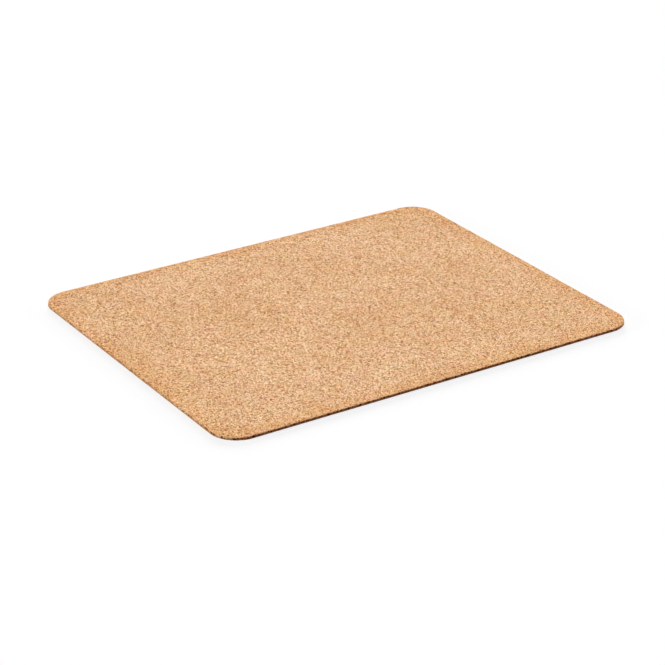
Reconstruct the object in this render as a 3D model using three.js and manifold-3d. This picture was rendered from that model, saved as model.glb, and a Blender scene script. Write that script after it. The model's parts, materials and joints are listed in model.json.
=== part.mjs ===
// Cork desk mat: a face sheet of pressed cork granules, bonded by a film of adhesive to a thin non-slip base.
// The three layers are cut through together in one stroke, so they share one outline and lie flush at the edge.
// Millimetres, +Z up. The origin is on the desk, under the middle of the mat. The long side runs along X.

import * as THREE from "three";
import { mergeVertices } from "three/addons/utils/BufferGeometryUtils.js";
import loadManifold from "manifold-3d";

// Outline of the die that cuts the mat
const MAT_WIDTH = 250;
const MAT_DEPTH = 200;
const CORNER_RADIUS = 15;

// Layers, from the desk up
const BASE_THICKNESS = 0.3;
const FILM_THICKNESS = 0.1;
const CORK_THICKNESS = 1.1;

// The cork's top rim is softened by the cut and by handling. The round stays within the cork's own thickness.
const RIM_RADIUS = 0.3;
const RIM_ROUND = Math.min(RIM_RADIUS, CORK_THICKNESS);

// Facets in a quarter turn. A shape gives an arc two facets for each curve segment.
const CORNER_FACETS = 32;
const RIM_FACETS = 5;

// Finishes
const CORK_FINISH = { color: 0xdeb186, roughness: 0.9, metalness: 0 };
const FILM_FINISH = { color: 0xb9935f, roughness: 0.6, metalness: 0 };
const BASE_FINISH = { color: 0xbf9061, roughness: 0.85, metalness: 0 };

const wasm = await loadManifold();
wasm.setup();

// A closed geometry as a solid that can be cut
function toSolid(geometry) {
  const bare = geometry.clone();
  bare.deleteAttribute("normal");
  bare.deleteAttribute("uv");
  const merged = mergeVertices(bare);
  const vertProperties = new Float32Array(merged.attributes.position.array);
  const triVerts = new Uint32Array(merged.index.array);
  return new wasm.Manifold(new wasm.Mesh({ numProp: 3, vertProperties, triVerts }));
}

// A cut solid as a geometry again
function toGeometry(solid) {
  const { vertProperties, triVerts } = solid.getMesh();
  const geometry = new THREE.BufferGeometry();
  geometry.setAttribute("position", new THREE.BufferAttribute(vertProperties, 3));
  geometry.setIndex(new THREE.BufferAttribute(triVerts, 1));
  const faceted = geometry.toNonIndexed();
  faceted.computeVertexNormals();
  return faceted;
}

// The mat's outline: a rectangle with four rounded corners, walked anticlockwise from the right-hand side
function matOutline() {
  const cornerX = MAT_WIDTH / 2 - CORNER_RADIUS;
  const cornerY = MAT_DEPTH / 2 - CORNER_RADIUS;
  const quarter = Math.PI / 2;
  const outline = new THREE.Shape();
  outline.absarc(cornerX, cornerY, CORNER_RADIUS, 0, quarter);
  outline.absarc(-cornerX, cornerY, CORNER_RADIUS, quarter, 2 * quarter);
  outline.absarc(-cornerX, -cornerY, CORNER_RADIUS, 2 * quarter, 3 * quarter);
  outline.absarc(cornerX, -cornerY, CORNER_RADIUS, 3 * quarter, 4 * quarter);
  outline.closePath();
  return outline;
}

// A layer with square edges
function squareLayer(thickness) {
  return new THREE.ExtrudeGeometry(matOutline(), {
    depth: thickness,
    bevelEnabled: false,
    curveSegments: CORNER_FACETS / 2,
  });
}

// A layer whose top rim is rounded. The extrusion is rounded at both ends, and the lower end is cut away.
function roundedLayer(thickness, rim) {
  const rounded = new THREE.ExtrudeGeometry(matOutline(), {
    depth: thickness,
    bevelThickness: rim,
    bevelSize: rim,
    bevelOffset: -rim,
    bevelSegments: RIM_FACETS,
    curveSegments: CORNER_FACETS / 2,
  });
  rounded.translate(0, 0, -rim);
  const wasteDepth = 3 * rim;
  const waste = new THREE.BoxGeometry(2 * MAT_WIDTH, 2 * MAT_DEPTH, wasteDepth);
  waste.translate(0, 0, -wasteDepth / 2);
  return toGeometry(toSolid(rounded).subtract(toSolid(waste)));
}

// One named layer, laid at its height above the desk
function layer(name, geometry, height, finish) {
  const mesh = new THREE.Mesh(geometry, new THREE.MeshStandardMaterial(finish));
  mesh.name = name;
  mesh.position.z = height;
  return mesh;
}

const filmHeight = BASE_THICKNESS;
const corkHeight = BASE_THICKNESS + FILM_THICKNESS;

const mat = new THREE.Group();
mat.name = "cork_desk_mat";
mat.add(
  layer("nonslip_base", squareLayer(BASE_THICKNESS), 0, BASE_FINISH),
  layer("adhesive_film", squareLayer(FILM_THICKNESS), filmHeight, FILM_FINISH),
  layer("cork_sheet", roundedLayer(CORK_THICKNESS, RIM_ROUND), corkHeight, CORK_FINISH),
);

export default mat;
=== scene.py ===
"""Cork desk mat, dressed for its picture.

The frame holds three layers that were die-cut together: pressed cork, a film of adhesive and a non-slip base.
The cork and the base are modelled again here with the relief of the real surfaces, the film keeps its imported
solid, and every surface gets a finish made of nodes. All lengths are in metres.
"""

import json
import logging
import math
import random
from dataclasses import dataclass, field
from enum import Enum

import bmesh
import bpy
from mathutils import Matrix, Vector

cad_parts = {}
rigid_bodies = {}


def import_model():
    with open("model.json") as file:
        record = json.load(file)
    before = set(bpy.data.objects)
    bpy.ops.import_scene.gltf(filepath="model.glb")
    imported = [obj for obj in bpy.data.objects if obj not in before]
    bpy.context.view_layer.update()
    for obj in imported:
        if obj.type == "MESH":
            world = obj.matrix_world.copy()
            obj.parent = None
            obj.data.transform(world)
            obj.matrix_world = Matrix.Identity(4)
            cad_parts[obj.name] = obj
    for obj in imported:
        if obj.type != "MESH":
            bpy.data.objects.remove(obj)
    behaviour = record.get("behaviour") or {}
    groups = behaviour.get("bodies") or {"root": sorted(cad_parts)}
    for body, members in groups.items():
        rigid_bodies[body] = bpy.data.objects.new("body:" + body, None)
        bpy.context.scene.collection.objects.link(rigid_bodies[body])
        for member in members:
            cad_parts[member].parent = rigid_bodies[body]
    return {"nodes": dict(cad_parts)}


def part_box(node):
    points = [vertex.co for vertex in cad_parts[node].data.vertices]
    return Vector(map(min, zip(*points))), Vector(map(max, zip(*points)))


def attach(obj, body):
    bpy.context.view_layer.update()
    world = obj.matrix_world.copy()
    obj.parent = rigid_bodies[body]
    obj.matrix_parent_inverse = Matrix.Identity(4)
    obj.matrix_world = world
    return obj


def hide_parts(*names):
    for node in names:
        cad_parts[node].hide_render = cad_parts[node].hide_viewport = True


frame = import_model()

Colour = tuple[float, float, float, float]
Socket = bpy.types.NodeSocket
Feed = Socket | float | Colour | tuple[float, float, float]

MM = 0.001
PHOTO_SIDE = 665
SENSOR_WIDTH_MM = 36.0
WHITE: Colour = (1.0, 1.0, 1.0, 1.0)
NOWHERE = (0.0, 0.0, 0.0)

# The corner's radius of a finish that has no border: no point of the mat lies so far out
NO_BORDER = 1.0

# The middle of soft noise, and the band that most of it lies in
NOISE_MIDDLE = (0.5, 0.5, 0.5)
NOISE_BAND = (0.35, 0.65)

# A mix node has sockets of one name for numbers, vectors and colours, so they are told apart by their place
NUMBER_INPUTS = (2, 3)
NUMBER_OUTPUT = 0
COLOUR_INPUTS = (6, 7)
COLOUR_OUTPUT = 2

# Distances under this count as none
TOUCHING = 1e-6

# How far up or down the map's level faces look at least, and the cut edge's faces at most: 1 is straight up
FACE_TILT = 0.5
WALL_TILT = 0.8

# The number of the cut edge's finish among the cork's materials
CUT_SLOT = 1

# The bake map, from its foot up: four strips for the sides of the cut edge, and then the working face.
# The sides are counted from the right-hand one, anticlockwise, and the short ones lie in the lower strips.
BAKE_MAP = "OFBake"
MAP_MARGIN = 0.004
STRIP_PITCH = 0.045
STRIP_HEIGHT = 0.03
STRIP_ROWS = (0, 2, 1, 3)
FACE_FOOT = 0.19
FAR_SCALE = 0.08

log = logging.getLogger("cork_desk_mat")


class Sum(Enum):
    """The sums that the finishes need."""

    ADD = "ADD"
    SUBTRACT = "SUBTRACT"
    MULTIPLY = "MULTIPLY"
    LARGEST = "MAXIMUM"
    UNDER = "LESS_THAN"


class VectorSum(Enum):
    """The sums of vectors that the finishes need."""

    ADD = "ADD"
    SUBTRACT = "SUBTRACT"
    MULTIPLY = "MULTIPLY"
    SCALE = "SCALE"
    UNSIGNED = "ABSOLUTE"
    LARGEST = "MAXIMUM"


class Mixing(Enum):
    """How one colour is laid over another."""

    COVER = "MIX"
    STAIN = "MULTIPLY"


class Cells(Enum):
    """What is read of a packing of cells."""

    NEAREST = "F1"
    BORDER = "DISTANCE_TO_EDGE"


class Seat(Enum):
    """How a granule of the face sits beside its neighbours."""

    PROUD = "proud"
    SUNK = "sunk"
    TORN_OUT = "torn out"


def paint(red: int, green: int, blue: int) -> Colour:
    """Turns a colour as a screen shows it into one that a node holds.

    Args:
        red: Red, from 0 to 255.
        green: Green, from 0 to 255.
        blue: Blue, from 0 to 255.

    Returns:
        Linear red, green and blue, with an alpha of 1.
    """
    shares = (value / 255 for value in (red, green, blue))
    linear = (s / 12.92 if s <= 0.04045 else ((s + 0.055) / 1.055) ** 2.4 for s in shares)
    return (*linear, 1.0)


class Wiring:
    """Adds and joins the nodes of one material or world."""

    def __init__(self, tree: bpy.types.NodeTree) -> None:
        """Starts from an empty tree.

        Args:
            tree: The tree to wire.
        """
        self.tree = tree
        tree.nodes.clear()

    def add(self, kind: str, **settings: object) -> bpy.types.Node:
        """Adds a node.

        Args:
            kind: Blender's name for the node's type.
            settings: The node's own settings, by name.

        Returns:
            The new node.
        """
        node = self.tree.nodes.new(kind)
        for name, value in settings.items():
            setattr(node, name, value)
        return node

    def feed(self, socket: Socket, value: Feed) -> None:
        """Joins an input to another socket, or sets its value.

        Args:
            socket: The input.
            value: What it reads, or its fixed value.
        """
        if isinstance(value, Socket):
            self.tree.links.new(value, socket)
        else:
            socket.default_value = value

    def sum(self, how: Sum, first: Feed, second: Feed) -> Socket:
        """Works out a sum of two numbers.

        Args:
            how: The sum.
            first: Its first number.
            second: Its second number.

        Returns:
            The result.
        """
        node = self.add("ShaderNodeMath", operation=how.value)
        self.feed(node.inputs[0], first)
        self.feed(node.inputs[1], second)
        return node.outputs[0]

    def vector(self, how: VectorSum, first: Feed, second: Feed = NOWHERE) -> Socket:
        """Works out a sum of two vectors, or of a vector and a scale.

        Args:
            how: The sum.
            first: The vector.
            second: The other vector, or the scale, where the sum has one.

        Returns:
            The resulting vector.
        """
        node = self.add("ShaderNodeVectorMath", operation=how.value)
        self.feed(node.inputs[0], first)
        self.feed(node.inputs["Scale" if how is VectorSum.SCALE else 1], second)
        return node.outputs["Vector"]

    def length(self, vector: Socket) -> Socket:
        """Measures a vector.

        Args:
            vector: The vector.

        Returns:
            Its length.
        """
        node = self.add("ShaderNodeVectorMath", operation="LENGTH")
        self.feed(node.inputs[0], vector)
        return node.outputs["Value"]

    def spread(
        self, value: Feed, low: float, high: float, to_low: float = 0.0, to_high: float = 1.0
    ) -> Socket:
        """Stretches a range of numbers, softly at its ends, onto another.

        Args:
            value: The number read.
            low: Where the range starts.
            high: Where it ends.
            to_low: What its start becomes.
            to_high: What its end becomes.

        Returns:
            The stretched number.
        """
        node = self.add("ShaderNodeMapRange", interpolation_type="SMOOTHSTEP")
        for name, number in (
            ("Value", value),
            ("From Min", low),
            ("From Max", high),
            ("To Min", to_low),
            ("To Max", to_high),
        ):
            self.feed(node.inputs[name], number)
        return node.outputs["Result"]

    def mix(self, share: Feed, under: Feed, over: Feed, how: Mixing = Mixing.COVER) -> Socket:
        """Lays one colour over another.

        Args:
            share: How much of the upper colour shows.
            under: The lower colour.
            over: The upper colour.
            how: The way they mix.

        Returns:
            The mixed colour.
        """
        node = self.add("ShaderNodeMix", data_type="RGBA", blend_type=how.value)
        self.feed(node.inputs["Factor"], share)
        for index, colour in zip(COLOUR_INPUTS, (under, over)):
            self.feed(node.inputs[index], colour)
        return node.outputs[COLOUR_OUTPUT]

    def either(self, share: Feed, first: Feed, second: Feed) -> Socket:
        """Picks between two numbers.

        Args:
            share: 0 for the first, 1 for the second.
            first: The first number.
            second: The second number.

        Returns:
            The number between them.
        """
        node = self.add("ShaderNodeMix", data_type="FLOAT")
        self.feed(node.inputs["Factor"], share)
        for index, number in zip(NUMBER_INPUTS, (first, second)):
            self.feed(node.inputs[index], number)
        return node.outputs[NUMBER_OUTPUT]

    def ramp(self, value: Socket, tones: tuple[tuple[float, Colour], ...]) -> Socket:
        """Reads a colour from a run of tones.

        Args:
            value: The place along the run, from 0 to 1.
            tones: Each tone with its place, in order.

        Returns:
            The colour there.
        """
        node = self.add("ShaderNodeValToRGB")
        stops = node.color_ramp.elements
        stops[0].position, stops[0].color = tones[0]
        stops[1].position, stops[1].color = tones[-1]
        for place, colour in tones[1:-1]:
            stops.new(place).color = colour
        self.feed(node.inputs["Fac"], value)
        return node.outputs["Color"]

    def noise(self, place: Socket, across: float, detail: float = 2.0) -> bpy.types.Node:
        """Adds soft noise.

        Args:
            place: Where it is read.
            across: The size of its lumps.
            detail: How many finer layers it has.

        Returns:
            The noise node, with outputs Fac and Color.
        """
        node = self.add("ShaderNodeTexNoise", noise_dimensions="3D")
        self.feed(node.inputs["Vector"], place)
        self.feed(node.inputs["Scale"], 1 / across)
        self.feed(node.inputs["Detail"], detail)
        return node

    def cells(self, place: Socket, across: float, what: Cells = Cells.NEAREST) -> bpy.types.Node:
        """Adds a packing of irregular cells.

        Args:
            place: Where it is read.
            across: The size of a cell.
            what: What is read of it.

        Returns:
            The cell node, whose Color is each cell's own chance.
        """
        node = self.add("ShaderNodeTexVoronoi", voronoi_dimensions="3D", feature=what.value)
        self.feed(node.inputs["Vector"], place)
        self.feed(node.inputs["Scale"], 1 / across)
        return node

    def chances(self, pattern: bpy.types.Node) -> tuple[Socket, Socket, Socket]:
        """Splits a pattern's colour into three chances from 0 to 1.

        Args:
            pattern: A node from the method cells or noise.

        Returns:
            Three numbers that have nothing to do with each other.
        """
        node = self.add("ShaderNodeSeparateColor")
        self.feed(node.inputs["Color"], pattern.outputs["Color"])
        return node.outputs["Red"], node.outputs["Green"], node.outputs["Blue"]

    def triple(self, first: Feed, second: Feed, third: Feed) -> Socket:
        """Puts three numbers together.

        Args:
            first: The number along X, or red.
            second: The number along Y, or green.
            third: The number along Z, or blue.

        Returns:
            The vector or colour.
        """
        node = self.add("ShaderNodeCombineXYZ")
        for socket, value in zip(node.inputs, (first, second, third)):
            self.feed(socket, value)
        return node.outputs["Vector"]

    def bump(self, height: Socket, depth: float, strength: float) -> Socket:
        """Turns heights into a surface direction.

        Args:
            height: Heights from 0 to 1.
            depth: What a height of 1 measures.
            strength: How much of it is felt.

        Returns:
            The direction.
        """
        node = self.add("ShaderNodeBump")
        self.feed(node.inputs["Strength"], strength)
        self.feed(node.inputs["Distance"], depth)
        self.feed(node.inputs["Height"], height)
        return node.outputs["Normal"]


@dataclass(frozen=True)
class Finish:
    """A finish with one shader. Roughness and shine that don't vary are set on the shader itself.

    Where a pattern varies the roughness, it is at most smoother than that by the field of this name.
    """

    name: str
    shine: float
    roughness: float
    smoother: float = field(default=0.1, kw_only=True)

    def make(self) -> bpy.types.Material:
        """Makes the material and wires its pattern.

        Returns:
            The material.
        """
        material = bpy.data.materials.new(self.name)
        material.use_nodes = True
        wiring = Wiring(material.node_tree)
        shader = wiring.add("ShaderNodeBsdfPrincipled")
        shader.inputs["Specular IOR Level"].default_value = self.shine
        shader.inputs["Roughness"].default_value = self.roughness
        output = wiring.add("ShaderNodeOutputMaterial")
        wiring.feed(output.inputs["Surface"], shader.outputs["BSDF"])
        place = wiring.add("ShaderNodeTexCoord").outputs["Object"]
        self.pattern(wiring, shader, place)
        return material

    def pattern(self, wiring: Wiring, shader: bpy.types.Node, place: Socket) -> None:
        """Wires the finish's own pattern to its shader.

        Args:
            wiring: The material's nodes.
            shader: Its shader.
            place: Where a point lies on the piece.
        """
        raise NotImplementedError


@dataclass(frozen=True)
class CorkFinish(Finish):
    """Pressed cork: packed granules of many tans, dark gaps and pores between them, and flecks of bark."""

    tones: tuple[tuple[float, Colour], ...]
    granule: float = 0.60 * MM
    crumb: float = 0.32 * MM
    crumb_share: float = 0.50
    crooked: float = 0.15 * MM
    streak_length: float = 0.60 * MM
    streak_width: float = 0.10 * MM
    streak_depth: float = 0.06
    streak_rise: float = 0.4
    streak_axis: tuple[float, float, float] = (0.3, 0.2, 1.0)
    blotch: float = 50.0 * MM
    blotch_detail: float = 1.0
    blotch_dark: Colour = (0.955, 0.922, 0.877, 1.0)
    tint: float = 10.0 * MM
    tint_rosy: tuple[float, float] = (0.035, 0.03)
    tint_golden: float = 0.04
    gap_width: float = 0.10
    gap_depth: float = 0.15
    gap_opening: tuple[float, float] = (0.40, 0.60)
    gap_colour: Colour = paint(150, 90, 26)
    pore_spacing: float = 2.6 * MM
    pore_size: float = 0.14
    pore_share: float = 0.5
    pore_colour: Colour = paint(112, 56, 10)
    relief: float = 0.06 * MM
    relief_strength: float = 0.25
    face_height: float = 0.0
    # Torn-out hollows darken with depth towards their own colour: partly the darker cork inside, partly
    # painted warm shade.
    hollow_depth: tuple[float, float] = (0.06 * MM, 0.16 * MM)
    hollow_stain_and_shade_share: float = 0.9
    hollow_stain_and_shade_colour: Colour = paint(156, 80, 20)
    core: tuple[float, float, float] = (0.0, 0.0, 1.0)
    corner: float = NO_BORDER
    # A narrow band along the outline is darkened.
    rim_dark_width: float = 0.8 * MM
    rim_dark_colour: Colour = (0.88, 0.86, 0.84, 1.0)
    aged_width: float = 15.0 * MM
    aged_colour: Colour = (0.98, 0.90, 0.80, 1.0)

    def pattern(self, wiring: Wiring, shader: bpy.types.Node, place: Socket) -> None:
        """Wires the granules, gaps, pores, and the stain of the hollows, which is partly painted shade.

        Args:
            wiring: The material's nodes.
            shader: Its shader.
            place: Where a point lies on the sheet.
        """
        crooked = self._crooked(wiring, place)
        granules = wiring.cells(crooked, self.granule)
        crumbs = wiring.cells(crooked, self.crumb)
        kind, tone_chance, turn = wiring.chances(granules)
        crumb_chance, _, crumb_rise = wiring.chances(crumbs)
        is_crumb = wiring.sum(Sum.UNDER, kind, self.crumb_share)
        chance = wiring.either(is_crumb, tone_chance, crumb_chance)
        streaks = self._streaks(wiring, crooked, turn)
        gaps = self._gaps(wiring, crooked)
        pores = self._pores(wiring, crooked)

        colour = wiring.ramp(chance, self.tones)
        dark = wiring.spread(streaks, *NOISE_BAND, 1 - self.streak_depth, 1 + self.streak_depth)
        colour = wiring.vector(VectorSum.SCALE, colour, dark)
        clouds = wiring.noise(place, self.blotch, self.blotch_detail).outputs["Fac"]
        blotches = wiring.spread(clouds, *NOISE_BAND)
        colour = wiring.mix(blotches, colour, self.blotch_dark, Mixing.STAIN)
        colour = wiring.vector(VectorSum.MULTIPLY, colour, self._tints(wiring, place))
        colour = wiring.mix(wiring.sum(Sum.MULTIPLY, gaps, self.gap_depth), colour, self.gap_colour)
        colour = wiring.mix(pores, colour, self.pore_colour)
        # Stain and painted shade in the hollows, stronger the deeper they are.
        colour = wiring.mix(self._hollow_stain_and_shade(wiring, place), colour, self.hollow_stain_and_shade_colour)
        beyond = self._beyond_core(wiring, place)
        aged = wiring.spread(beyond, self.corner - self.aged_width, self.corner)
        colour = wiring.mix(aged, colour, self.aged_colour, Mixing.STAIN)
        # Darkens a narrow band along the outline.
        rim_dark = wiring.spread(beyond, self.corner - self.rim_dark_width, self.corner)
        colour = wiring.mix(rim_dark, colour, self.rim_dark_colour, Mixing.STAIN)
        wiring.feed(shader.inputs["Base Color"], colour)

        rough = wiring.spread(chance, 0.0, 1.0, self.roughness - self.smoother, self.roughness)
        wiring.feed(shader.inputs["Roughness"], rough)

        rise = wiring.either(is_crumb, turn, crumb_rise)
        grain = wiring.sum(Sum.ADD, wiring.sum(Sum.MULTIPLY, streaks, self.streak_rise), rise)
        dips = wiring.sum(Sum.LARGEST, gaps, pores)
        wiring.feed(shader.inputs["Normal"], wiring.bump(
            wiring.sum(Sum.SUBTRACT, grain, dips), self.relief, self.relief_strength))

    def _crooked(self, wiring: Wiring, place: Socket) -> Socket:
        """Shifts points a little to and fro, so that granules get crooked outlines.

        Args:
            wiring: The material's nodes.
            place: Where a point lies.

        Returns:
            The shifted place.
        """
        lumps = wiring.noise(place, self.crumb).outputs["Color"]
        shift = wiring.vector(VectorSum.SUBTRACT, lumps, NOISE_MIDDLE)
        return wiring.vector(VectorSum.ADD, place, wiring.vector(VectorSum.SCALE, shift, 2 * self.crooked))

    def _streaks(self, wiring: Wiring, place: Socket, turn: Socket) -> Socket:
        """Draws fine growth lines, which run another way in each granule.

        Args:
            wiring: The material's nodes.
            place: Where a point lies.
            turn: Each granule's chance, from 0 to 1.

        Returns:
            Noise from 0 to 1.
        """
        spin = wiring.add("ShaderNodeVectorRotate", rotation_type="AXIS_ANGLE")
        wiring.feed(spin.inputs["Vector"], place)
        wiring.feed(spin.inputs["Axis"], self.streak_axis)
        wiring.feed(spin.inputs["Angle"], wiring.sum(Sum.MULTIPLY, turn, 2 * math.pi))
        squeeze = (self.streak_width / self.streak_length, 1.0, 1.0)
        lines = wiring.vector(VectorSum.MULTIPLY, spin.outputs["Vector"], squeeze)
        return wiring.noise(lines, self.streak_width).outputs["Fac"]

    def _tints(self, wiring: Wiring, place: Socket) -> Socket:
        """Draws the patches where the granules are rosier or more golden than elsewhere.

        Args:
            wiring: The material's nodes.
            place: Where a point lies.

        Returns:
            What the colour is multiplied by.
        """
        rosy, golden, _ = wiring.chances(wiring.noise(place, self.tint))
        less_green, less_blue = (
            wiring.spread(rosy, *NOISE_BAND, 1 + share, 1 - share) for share in self.tint_rosy)
        no_blue = wiring.spread(golden, *NOISE_BAND, 1 + self.tint_golden, 1 - self.tint_golden)
        return wiring.triple(1.0, less_green, wiring.sum(Sum.MULTIPLY, less_blue, no_blue))

    def _gaps(self, wiring: Wiring, place: Socket) -> Socket:
        """Finds the gaps between granules, which open and close along their way.

        Args:
            wiring: The material's nodes.
            place: Where a point lies.

        Returns:
            1 in an open gap, 0 elsewhere.
        """
        border = wiring.cells(place, self.granule, Cells.BORDER).outputs["Distance"]
        line = wiring.spread(border, 0.0, self.gap_width, 1.0, 0.0)
        opening = wiring.spread(wiring.noise(place, 2 * self.granule).outputs["Fac"], *self.gap_opening)
        return wiring.sum(Sum.MULTIPLY, line, opening)

    def _pores(self, wiring: Wiring, place: Socket) -> Socket:
        """Scatters dark pores.

        Args:
            wiring: The material's nodes.
            place: Where a point lies.

        Returns:
            1 in a pore, 0 elsewhere.
        """
        spots = wiring.cells(place, self.pore_spacing)
        chance, _, _ = wiring.chances(spots)
        spot = wiring.spread(spots.outputs["Distance"], self.pore_size / 2, self.pore_size, 1.0, 0.0)
        return wiring.sum(Sum.MULTIPLY, spot, wiring.sum(Sum.UNDER, chance, self.pore_share))

    def _hollow_stain_and_shade(self, wiring: Wiring, place: Socket) -> Socket:
        """Finds the hollows that torn-out granules leave in the face. Their colour is partly the darker cork
        inside and partly painted warm shade, deeper under the face.

        Args:
            wiring: The material's nodes.
            place: Where a point lies.

        Returns:
            How much of the stain and painted shade shows: its full share at the bottom of a hollow, 0 on the
            face.
        """
        split = wiring.add("ShaderNodeSeparateXYZ")
        wiring.feed(split.inputs["Vector"], place)
        depth = wiring.sum(Sum.SUBTRACT, self.face_height, split.outputs["Z"])
        return wiring.spread(depth, *self.hollow_depth, 0.0, self.hollow_stain_and_shade_share)

    def _beyond_core(self, wiring: Wiring, place: Socket) -> Socket:
        """Measures how far a point lies beyond the face's core, the rectangle between the corners' centres.

        Args:
            wiring: The material's nodes.
            place: Where a point lies.

        Returns:
            The distance, which is the corner's radius all along the outline.
        """
        apart = wiring.vector(VectorSum.SUBTRACT, wiring.vector(VectorSum.UNSIGNED, place), self.core)
        return wiring.length(wiring.vector(VectorSum.LARGEST, apart, NOWHERE))


@dataclass(frozen=True)
class FilmFinish(Finish):
    """Dried adhesive: an amber film with soft clouds in it."""

    light: Colour = paint(196, 158, 104)
    dark: Colour = paint(160, 118, 70)
    cloud: float = 3.0 * MM
    cloud_detail: float = 4.0
    cloud_band: tuple[float, float] = (0.3, 0.7)
    relief: float = 0.02 * MM
    relief_strength: float = 0.3

    def pattern(self, wiring: Wiring, shader: bpy.types.Node, place: Socket) -> None:
        """Wires the clouds.

        Args:
            wiring: The material's nodes.
            shader: Its shader.
            place: Where a point lies on the film.
        """
        clouds = wiring.noise(place, self.cloud, self.cloud_detail).outputs["Fac"]
        tones = tuple(zip(self.cloud_band, (self.dark, self.light)))
        wiring.feed(shader.inputs["Base Color"], wiring.ramp(clouds, tones))
        wiring.feed(shader.inputs["Normal"], wiring.bump(clouds, self.relief, self.relief_strength))


@dataclass(frozen=True)
class RubberFinish(Finish):
    """Moulded natural rubber: tan, with a fine pebble and a cloudy bloom."""

    light: Colour = paint(196, 149, 101)
    dark: Colour = paint(185, 138, 91)
    bloom: float = 9.0 * MM
    bloom_detail: float = 5.0
    bloom_band: tuple[float, float] = (0.35, 0.7)
    dull_band: tuple[float, float] = (0.3, 0.7)
    pebble: float = 0.25 * MM
    relief: float = 0.03 * MM
    relief_strength: float = 0.5

    def pattern(self, wiring: Wiring, shader: bpy.types.Node, place: Socket) -> None:
        """Wires the bloom and the pebble.

        Args:
            wiring: The material's nodes.
            shader: Its shader.
            place: Where a point lies on the base.
        """
        bloom = wiring.noise(place, self.bloom, self.bloom_detail).outputs["Fac"]
        pebble = wiring.cells(place, self.pebble).outputs["Distance"]
        tones = tuple(zip(self.bloom_band, (self.dark, self.light)))
        wiring.feed(shader.inputs["Base Color"], wiring.ramp(bloom, tones))
        rough = wiring.spread(bloom, *self.dull_band, self.roughness - self.smoother, self.roughness)
        wiring.feed(shader.inputs["Roughness"], rough)
        wiring.feed(shader.inputs["Normal"], wiring.bump(pebble, self.relief, self.relief_strength))


FACE_TONES = (
    (0.00, paint(112, 38, 4)),
    (0.06, paint(158, 86, 10)),
    (0.17, paint(192, 126, 62)),
    (0.32, paint(212, 156, 102)),
    (0.46, paint(231, 182, 136)),
    (0.58, paint(246, 200, 156)),
    (0.74, paint(255, 216, 175)),
    (1.00, paint(255, 231, 195)),
)
CUT_TONES = (
    (0.00, paint(72, 28, 5)),
    (0.20, paint(152, 85, 36)),
    (0.38, paint(225, 158, 97)),
    (0.60, paint(253, 203, 148)),
    (1.00, paint(255, 235, 196)),
)


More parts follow.
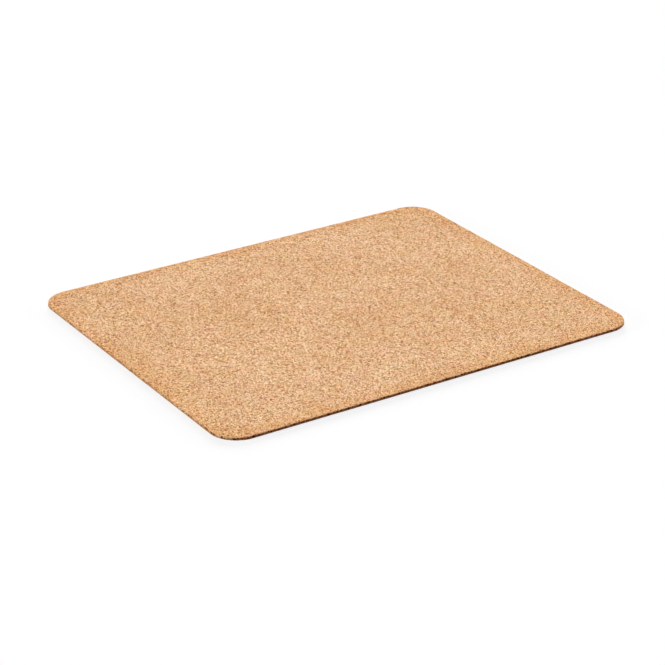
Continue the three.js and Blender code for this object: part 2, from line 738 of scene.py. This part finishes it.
@dataclass
class DieCutLayer:
    """One layer of the mat. It starts as a grid, its working face, and ends with the outline of the die."""

    node: str
    slot: str
    cell: float
    faces_up: bool

    def __post_init__(self) -> None:
        """Takes the layer's place and corner radius from the frame."""
        self.low, self.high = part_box(self.node)
        self.half_width = self.high.x
        self.half_depth = self.high.y
        self.level = self.high.z if self.faces_up else self.low.z
        self.far = self.low.z if self.faces_up else self.high.z
        packed = frame["nodes"][self.node].data.vertices
        back = [v.co.x for v in packed if self.half_depth - v.co.y < TOUCHING]
        self.corner = self.half_width - max(back)
        self.piece: bpy.types.Object | None = None

    @property
    def mesh(self) -> bpy.types.Mesh:
        """The mesh being modelled."""
        return self.piece.data

    def add_grid(self, width: float, depth: float) -> None:
        """Adds the piece as a flat grid of cells at the level of the working face, and goes into edit mode.

        Args:
            width: The grid's size along X.
            depth: The grid's size along Y.
        """
        bpy.ops.object.select_all(action="DESELECT")
        bpy.ops.mesh.primitive_grid_add(
            x_subdivisions=round(width / self.cell),
            y_subdivisions=round(depth / self.cell),
            size=1.0,
            calc_uvs=False,
            enter_editmode=True,
        )
        self.piece = bpy.context.object
        self.piece.name = self.node + "_surface"
        self.mesh.name = self.piece.name
        bpy.ops.transform.resize(value=(width, depth, 1.0), center_override=(0, 0, 0))
        bpy.ops.transform.translate(value=(0, 0, self.level))
        if not self.faces_up:
            bpy.ops.mesh.flip_normals()

    def select_outline(self) -> None:
        """Selects the open edges of the mesh in edit mode, alone."""
        bpy.ops.mesh.select_mode(type="EDGE")
        bpy.ops.mesh.select_all(action="DESELECT")
        bpy.ops.mesh.select_non_manifold()

    def close_far_side(self) -> None:
        """Fills the selected outline, turns all faces outward and leaves edit mode."""
        bpy.ops.mesh.edge_face_add()
        bpy.ops.mesh.select_all(action="SELECT")
        bpy.ops.mesh.normals_make_consistent(inside=False)
        bpy.ops.object.mode_set(mode="OBJECT")

    def make_active(self) -> None:
        """Selects the piece alone, so that the next tools work on it."""
        bpy.ops.object.select_all(action="DESELECT")
        self.piece.select_set(True)
        bpy.context.view_layer.objects.active = self.piece

    def outward(self, place: Vector) -> Vector:
        """Finds the way out of the layer's outline.

        Args:
            place: A point on the outline.

        Returns:
            The direction square to the outline there, level with the desk.
        """
        across = abs(place.x) - (self.half_width - self.corner)
        along = abs(place.y) - (self.half_depth - self.corner)
        if across > 0 and along > 0:
            way = Vector((across, along, 0)).normalized()
        elif self.half_width - abs(place.x) < self.half_depth - abs(place.y):
            way = Vector((1, 0, 0))
        else:
            way = Vector((0, 1, 0))
        return Vector((math.copysign(way.x, place.x), math.copysign(way.y, place.y), 0))

    def unwrap(self) -> None:
        """Lays the working face, the four sides of the cut edge and the far side out on one map, apart."""
        pins = self.mesh.uv_layers.new(name=BAKE_MAP).data
        up = 1 if self.faces_up else -1
        for polygon in self.mesh.polygons:
            tilt = up * polygon.normal.z
            way = self.outward(polygon.center)
            side = round(math.atan2(way.y, way.x) / (math.pi / 2)) % 4
            for loop in polygon.loop_indices:
                place = self.mesh.vertices[self.mesh.loops[loop].vertex_index].co
                if tilt > FACE_TILT:
                    pins[loop].uv = self._on_face_map(place)
                elif tilt < -FACE_TILT:
                    pins[loop].uv = self._on_far_map(place)
                else:
                    pins[loop].uv = self._on_strip(place, side)

    @property
    def map_scale(self) -> float:
        """How much of the map a metre of the layer takes."""
        return (1 - 2 * MAP_MARGIN) / (2 * self.half_width)

    def _on_face_map(self, place: Vector) -> tuple[float, float]:
        """Finds where a point of the working face lies on the map."""
        return 0.5 + self.map_scale * place.x, FACE_FOOT + self.map_scale * (place.y + self.half_depth)

    def _on_far_map(self, place: Vector) -> tuple[float, float]:
        """Finds where a point of the far side lies on the map: small, beside the strips of the short sides.

        Args:
            place: The point.

        Returns:
            Its place on the map.
        """
        scale = FAR_SCALE * self.map_scale
        right = 1 - MAP_MARGIN - scale * (self.half_width - place.x)
        return right, MAP_MARGIN + scale * (place.y + self.half_depth)

    def _on_strip(self, place: Vector, side: int) -> tuple[float, float]:
        """Finds where a point of the cut edge lies on the map.

        Args:
            place: The point.
            side: The side that it is on, counted from the right-hand one, anticlockwise.

        Returns:
            Its place on the map.
        """
        turned = Matrix.Rotation(-side * math.pi / 2, 3, "Z")
        spot = turned @ place
        way = turned @ self.outward(place)
        straight = (self.half_width if side % 2 else self.half_depth) - self.corner
        along = max(-straight, min(straight, spot.y)) + self.corner * math.atan2(way.y, way.x)
        down = abs(place.z - self.level) / abs(self.far - self.level)
        foot = MAP_MARGIN + STRIP_ROWS[side] * STRIP_PITCH
        return 0.5 + self.map_scale * along, foot + STRIP_HEIGHT * down

    def dress(self, *finishes: Finish) -> None:
        """Gives the piece its finishes, one slot each, and joins it to the frame.

        Args:
            finishes: The finishes, in the order of the mesh's material numbers.
        """
        self.unwrap()
        for finish in finishes:
            self.mesh.materials.append(finish.make())
        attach(self.piece, "root")
        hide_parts(self.node)
        log.info("%s: %d faces", self.piece.name, len(self.mesh.polygons))


@dataclass(frozen=True)
class SeatPass:
    """One pass over the face that seats some of its granules alike."""

    seat: Seat
    share: float
    height: float
    seed: int


@dataclass
class CorkSheet(DieCutLayer):
    """The face sheet of pressed cork. Each cell of its grid is a granule.

    The grid's corners are bent round. Its outline is drawn in by the rim's radius, and the rim and the wall
    are then extruded down from it.
    """

    node: str = "cork_sheet"
    slot: str = "cork"
    cell: float = 1.10 * MM
    faces_up: bool = True
    rim: float = 0.30 * MM
    rim_steps: int = 3
    wall_rows: int = 3
    wall_depth: float = 0.12 * MM
    scatter: float = 0.42
    ripple: float = 0.05
    headroom: float = 1.05
    smooth_angle: float = 35.0
    granules: int = field(default=0, init=False)
    seed: int = 11
    passes: tuple[SeatPass, ...] = (
        SeatPass(Seat.TORN_OUT, share=0.02, height=-0.32 * MM, seed=21),
        SeatPass(Seat.SUNK, share=0.10, height=-0.06 * MM, seed=22),
        SeatPass(Seat.SUNK, share=0.30, height=-0.025 * MM, seed=23),
        SeatPass(Seat.PROUD, share=0.45, height=0.02 * MM, seed=24),
        SeatPass(Seat.PROUD, share=0.30, height=0.035 * MM, seed=25),
    )

    def build(self) -> None:
        """Models the sheet and dresses it."""
        self._lay_granules()
        self._round_corners()
        self._wrap_edge()
        self._roughen_wall()
        self._seat_granules()
        bpy.ops.object.shade_smooth_by_angle(angle=math.radians(self.smooth_angle))
        face = CorkFinish(
            name="pressed_cork",
            shine=0.01,
            roughness=0.92,
            tones=FACE_TONES,
            face_height=self.level,
            core=(self.half_width - self.corner, self.half_depth - self.corner, 1.0),
            corner=self.corner,
        )
        cut = CorkFinish(
            name="cut_cork",
            shine=0.01,
            roughness=0.95,
            tones=CUT_TONES,
            granule=0.9 * MM,
            crumb=0.5 * MM,
            face_height=self.low.z,
        )
        self.dress(face, cut)

    @property
    def ripple_height(self) -> float:
        """How far the scattered crossings of the grid lie above or below its level, at most."""
        return self.ripple * self.scatter * self.cell

    def _lay_granules(self) -> None:
        """Lays the face as a grid of granules and scatters its crossings, mostly sideways.

        The grid lies low enough for the proudest granule to stay under the sheet's highest level.
        """
        proudest = max(seating.height for seating in self.passes)
        self.level -= self.headroom * (proudest + self.ripple_height)
        self.add_grid(2 * (self.half_width - self.rim), 2 * (self.half_depth - self.rim))
        bpy.ops.mesh.select_mode(type="VERT")
        bpy.ops.mesh.select_all(action="DESELECT")
        bpy.ops.mesh.select_non_manifold()
        bpy.ops.mesh.select_all(action="INVERT")
        bpy.ops.transform.vertex_random(
            offset=self.scatter * self.cell, uniform=0.0, normal=0.0, seed=self.seed)
        bpy.ops.transform.resize(value=(1, 1, self.ripple), center_override=(0, 0, self.level))
        self.select_outline()
        bpy.ops.mesh.subdivide(number_cuts=1, ngon=True, quadcorner="INNERVERT")
        bpy.ops.object.mode_set(mode="OBJECT")
        self.granules = len(self.mesh.polygons)

    def _round_corners(self) -> None:
        """Bends each corner square of the grid into a quarter disc, with even steps along its arc."""
        centre_x = self.half_width - self.corner
        centre_y = self.half_depth - self.corner
        for vertex in self.mesh.vertices:
            across = abs(vertex.co.x) - centre_x
            along = abs(vertex.co.y) - centre_y
            if across > 0 and along > 0:
                reach = max(across, along)
                turn = math.pi / 4 * min(across, along) / reach
                if along > across:
                    turn = math.pi / 2 - turn
                vertex.co.x = math.copysign(centre_x + reach * math.cos(turn), vertex.co.x)
                vertex.co.y = math.copysign(centre_y + reach * math.sin(turn), vertex.co.y)

    def _wrap_edge(self) -> None:
        """Extrudes the rim and the wall from the grid's outline, and closes the far side."""
        levels = [(0.0, 0.0)]
        for step in range(1, self.rim_steps + 1):
            turn = math.pi / 2 * step / self.rim_steps
            levels.append((self.rim * math.sin(turn), self.rim * (1 - math.cos(turn))))
        wall = self.level - self.far - self.rim
        for row in range(1, self.wall_rows + 1):
            levels.append((self.rim, self.rim + wall * row / self.wall_rows))
        bpy.ops.object.mode_set(mode="EDIT")
        self.select_outline()
        for (out_before, drop_before), (out, drop) in zip(levels, levels[1:]):
            bpy.ops.mesh.extrude_edges_move(TRANSFORM_OT_translate={"value": (0, 0, drop_before - drop)})
            self._push_out(out - out_before)
        self.close_far_side()

    def _push_out(self, distance: float) -> None:
        """Moves the selected vertices out, square to the outline.

        Args:
            distance: How far they move.
        """
        edit = bmesh.from_edit_mesh(self.mesh)
        for vertex in edit.verts:
            if vertex.select:
                vertex.co += distance * self.outward(vertex.co)
        bmesh.update_edit_mesh(self.mesh)

    def _is_wall(self, polygon: bpy.types.MeshPolygon) -> bool:
        """Tells whether a face is part of the cut edge."""
        return abs(polygon.normal.z) < WALL_TILT

    def _roughen_wall(self) -> None:
        """Draws the wall's vertices in at random, as a blade leaves sheared granules, and marks its faces.

        Extruding leaves the vertices in any order, so the draws follow their places.
        """
        draw = random.Random(self.seed)
        wall = set()
        for polygon in self.mesh.polygons:
            if self._is_wall(polygon):
                polygon.material_index = CUT_SLOT
                wall.update(polygon.vertices)
        vertices = [self.mesh.vertices[index] for index in wall]
        for vertex in sorted(vertices, key=lambda vertex: tuple(vertex.co)):
            vertex.co -= draw.uniform(0, self.wall_depth) * self.outward(vertex.co)

    def _seat_granules(self) -> None:
        """Raises, sinks or tears out granules of the face, one pass after another."""
        self._show_granules()
        for seating in self.passes:
            bpy.ops.mesh.select_all(action="DESELECT")
            bpy.ops.mesh.select_random(ratio=seating.share, seed=seating.seed)
            bpy.ops.mesh.poke(offset=seating.height)
            bpy.ops.mesh.hide(unselected=False)
            log.info("granules %s by %.3f mm", seating.seat.value, abs(seating.height) / MM)
        bpy.ops.mesh.reveal(select=False)
        bpy.ops.object.mode_set(mode="OBJECT")

    def _show_granules(self) -> None:
        """Goes into edit mode with only the granules of the face, and of the rim's top ring, in sight."""
        lowest = self.level - self.ripple_height
        self.make_active()
        bpy.ops.object.mode_set(mode="EDIT")
        bpy.ops.mesh.select_mode(type="FACE")
        bpy.ops.mesh.select_all(action="DESELECT")
        edit = bmesh.from_edit_mesh(self.mesh)
        self._order_edge(edit)
        for face in edit.faces:
            face.select = face.calc_center_median().z > lowest
        bmesh.update_edit_mesh(self.mesh)
        bpy.ops.mesh.hide(unselected=True)

    def _order_edge(self, edit: bmesh.types.BMesh) -> None:
        """Puts the faces of the edge in the order of their places, so that each run seats the same ones.

        Args:
            edit: The mesh in edit mode. Its first faces are the granules.
        """
        edit.faces.index_update()
        edge = list(edit.faces)[self.granules:]
        edge.sort(key=lambda face: tuple(face.calc_center_median()))
        for number, face in enumerate(edge, self.granules):
            face.index = number
        edit.faces.sort()
        edit.faces.index_update()


@dataclass
class NonslipBase(DieCutLayer):
    """The rubber base: a slab moulded with a waffle of shallow dimples on its underside, and then die-cut."""

    node: str = "nonslip_base"
    slot: str = "base"
    cell: float = 2.50 * MM
    faces_up: bool = False
    border: float = 0.20 * MM
    spare: float = 1.00 * MM
    web: float = 0.50 * MM
    dimple: float = 0.14 * MM
    dimple_slope: float = 0.25 * MM
    die_reach: float = 4.0
    corner_steps: int = 32
    smooth_angle: float = 25.0

    def build(self) -> None:
        """Models the base and dresses it."""
        self._mould_slab()
        self._die_cut()
        bpy.ops.object.shade_smooth_by_angle(angle=math.radians(self.smooth_angle))
        self.dress(RubberFinish(name="nonslip_rubber", shine=0.25, roughness=0.85))

    def _mould_slab(self) -> None:
        """Moulds the slab: the waffle, a plain edge that the die will cut through, and the upper face."""
        width = 2 * (self.half_width - self.border)
        depth = 2 * (self.half_depth - self.border)
        self.add_grid(width, depth)
        bpy.ops.mesh.inset(thickness=self.web / 2, use_individual=True, use_boundary=True)
        bpy.ops.mesh.inset(thickness=self.dimple_slope, depth=-self.dimple, use_individual=True)
        self.select_outline()
        bpy.ops.mesh.extrude_edges_move()
        bpy.ops.transform.resize(value=(1 + 2 * self.spare / width, 1 + 2 * self.spare / depth, 1))
        bpy.ops.mesh.extrude_edges_move(TRANSFORM_OT_translate={"value": (0, 0, self.far - self.level)})
        self.close_far_side()

    def _die_cut(self) -> None:
        """Cuts the slab to the mat's outline."""
        die = self._make_die()
        self.make_active()
        bpy.ops.object.modifier_add(type="BOOLEAN")
        cut = self.piece.modifiers[-1]
        cut.operation = "INTERSECT"
        cut.object = die
        bpy.ops.object.modifier_apply(modifier=cut.name)
        bpy.data.objects.remove(die)

    def _make_die(self) -> bpy.types.Object:
        """Makes the die: a block with the mat's outline that reaches through the slab.

        Returns:
            The block.
        """
        bpy.ops.mesh.primitive_cube_add(size=1.0)
        die = bpy.context.object
        bpy.ops.object.mode_set(mode="EDIT")
        height = self.die_reach * self.high.z
        bpy.ops.transform.resize(value=(2 * self.half_width, 2 * self.half_depth, height))
        bpy.ops.mesh.select_mode(type="EDGE")
        bpy.ops.mesh.select_all(action="DESELECT")
        edit = bmesh.from_edit_mesh(die.data)
        for edge in edit.edges:
            edge.select = edge.verts[0].co.xy == edge.verts[1].co.xy
        bmesh.update_edit_mesh(die.data)
        bpy.ops.mesh.bevel(offset=self.corner, segments=self.corner_steps)
        bpy.ops.object.mode_set(mode="OBJECT")
        return die


@dataclass
class AdhesiveFilm:
    """The bond between cork and base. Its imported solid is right, so it only gets a finish."""

    node: str = "adhesive_film"

    def build(self) -> None:
        """Gives the film its finish."""
        film = frame["nodes"][self.node]
        finish = FilmFinish(name="dried_adhesive", shine=0.3, roughness=0.5)
        film.material_slots[0].material = finish.make()
        log.info("%s: keeps its solid", self.node)


@dataclass
class PhotoCamera:
    """The camera of the picture. It looks down at the mat from its near left corner."""

    azimuth: float = -32.710
    elevation: float = 25.217
    roll: float = -0.093
    distance: float = 1.2439
    focal_pixels: float = 2332.4
    mat_right_of_middle: float = 0.54 * MM
    mat_above_middle: float = 10.76 * MM

    def build(self) -> None:
        """Adds the camera and makes it the scene's own."""
        azimuth, elevation, roll = (math.radians(a) for a in (self.azimuth, self.elevation, self.roll))
        level = math.cos(elevation)
        back = Vector((math.sin(azimuth) * level, -math.cos(azimuth) * level, math.sin(elevation)))
        right = Vector((0, 0, 1)).cross(back).normalized()
        up = back.cross(right)
        right, up = (
            math.cos(roll) * right + math.sin(roll) * up,
            math.cos(roll) * up - math.sin(roll) * right,
        )
        place = self.distance * back - self.mat_right_of_middle * right - self.mat_above_middle * up
        bpy.ops.object.camera_add()
        camera = bpy.context.object
        camera.name = "photo_camera"
        camera.data.sensor_width = SENSOR_WIDTH_MM
        camera.data.lens = SENSOR_WIDTH_MM * self.focal_pixels / PHOTO_SIDE
        camera.matrix_world = Matrix.Translation(place) @ Matrix((right, up, back)).transposed().to_4x4()
        bpy.context.scene.camera = camera


@dataclass(frozen=True)
class Lamp:
    """A soft lamp far away. Its azimuth counts from the back, to the left, and all angles are in degrees.

    Its light share is what it gives to a level white surface: 1 is plain white.
    """

    name: str
    from_azimuth: float
    elevation: float
    softness: float
    light_share: float

    def build(self) -> None:
        """Adds the lamp."""
        bpy.ops.object.light_add(type="SUN")
        lamp = bpy.context.object
        lamp.name = self.name
        lamp.data.angle = math.radians(self.softness)
        height = math.radians(self.elevation)
        lamp.data.energy = math.pi * self.light_share / math.sin(height)
        lamp.rotation_euler = (height - math.pi / 2, 0, math.radians(self.from_azimuth))
        log.info("%s: %.2f of the light", self.name, self.light_share)


@dataclass
class Studio:
    """A white floor, five soft lamps and a dim surround.

    Rays from the camera, and what mirrors them, see a white floor and a white surround. Other rays see a
    brown floor and the dim surround, so that little light, and a warm one, comes back onto the near edge.
    """

    floor_side: float = 8.0
    floor_white: float = 0.55
    floor_glow: float = 0.462
    floor_bounce: Colour = (0.29, 0.070, 0.003, 1.0)
    surround: float = 0.020
    lamps: tuple[Lamp, ...] = (
        Lamp("top_left_lamp", from_azimuth=72.0, elevation=75.0, softness=40.0, light_share=0.455),
        Lamp("top_right_lamp", from_azimuth=-52.0, elevation=75.0, softness=50.0, light_share=0.26),
        Lamp("low_left_lamp", from_azimuth=65.0, elevation=5.0, softness=8.0, light_share=0.046),
        Lamp("low_right_lamp", from_azimuth=-90.0, elevation=5.0, softness=8.0, light_share=0.034),
        Lamp("low_back_lamp", from_azimuth=-31.0, elevation=8.5, softness=14.0, light_share=0.175),
    )

    def build(self) -> None:
        """Builds the stage and sets the plain view of its colours."""
        for lamp in self.lamps:
            lamp.build()
        self._lay_floor()
        self._light_surround()
        bpy.context.scene.view_settings.view_transform = "Standard"

    def _seen(self, wiring: Wiring) -> Socket:
        """Finds the rays that see the white stage.

        Args:
            wiring: The nodes of the floor or the surround.

        Returns:
            1 for rays from the camera, off gloss or through glass, and 0 for others.
        """
        path = wiring.add("ShaderNodeLightPath")
        seen = wiring.sum(Sum.LARGEST, path.outputs["Is Camera Ray"], path.outputs["Is Glossy Ray"])
        return wiring.sum(Sum.LARGEST, seen, path.outputs["Is Transmission Ray"])

    def _lay_floor(self) -> None:
        """Lays the floor under the mat."""
        bpy.ops.object.select_all(action="DESELECT")
        bpy.ops.mesh.primitive_plane_add(size=self.floor_side)
        floor = bpy.context.object
        floor.name = "studio_floor"
        material = bpy.data.materials.new("studio_white")
        material.use_nodes = True
        wiring = Wiring(material.node_tree)
        seen = self._seen(wiring)
        plain = wiring.add("ShaderNodeBsdfDiffuse")
        white = (self.floor_white,) * 3 + (1.0,)
        wiring.feed(plain.inputs["Color"], wiring.mix(seen, self.floor_bounce, white))
        glow = wiring.add("ShaderNodeEmission")
        wiring.feed(glow.inputs["Strength"], wiring.sum(Sum.MULTIPLY, seen, self.floor_glow))
        both = wiring.add("ShaderNodeAddShader")
        wiring.feed(both.inputs[0], plain.outputs["BSDF"])
        wiring.feed(both.inputs[1], glow.outputs["Emission"])
        output = wiring.add("ShaderNodeOutputMaterial")
        wiring.feed(output.inputs["Surface"], both.outputs["Shader"])
        floor.data.materials.append(material)

    def _light_surround(self) -> None:
        """Sets the surround."""
        world = bpy.data.worlds.new("studio_surround")
        world.use_nodes = True
        bpy.context.scene.world = world
        wiring = Wiring(world.node_tree)
        seen = self._seen(wiring)
        background = wiring.add("ShaderNodeBackground")
        wiring.feed(background.inputs["Strength"], wiring.either(seen, self.surround, 1.0))
        background.inputs["Color"].default_value = WHITE
        output = wiring.add("ShaderNodeOutputWorld")
        wiring.feed(output.inputs["Surface"], background.outputs["Background"])


def main() -> None:
    """Builds the camera, the stage and the mat's layers, in order."""
    logging.basicConfig(level=logging.INFO, format="%(name)s: %(message)s")
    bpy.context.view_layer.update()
    for part in (PhotoCamera(), Studio(), NonslipBase(), AdhesiveFilm(), CorkSheet()):
        part.build()


if __name__ == "__main__":
    main()
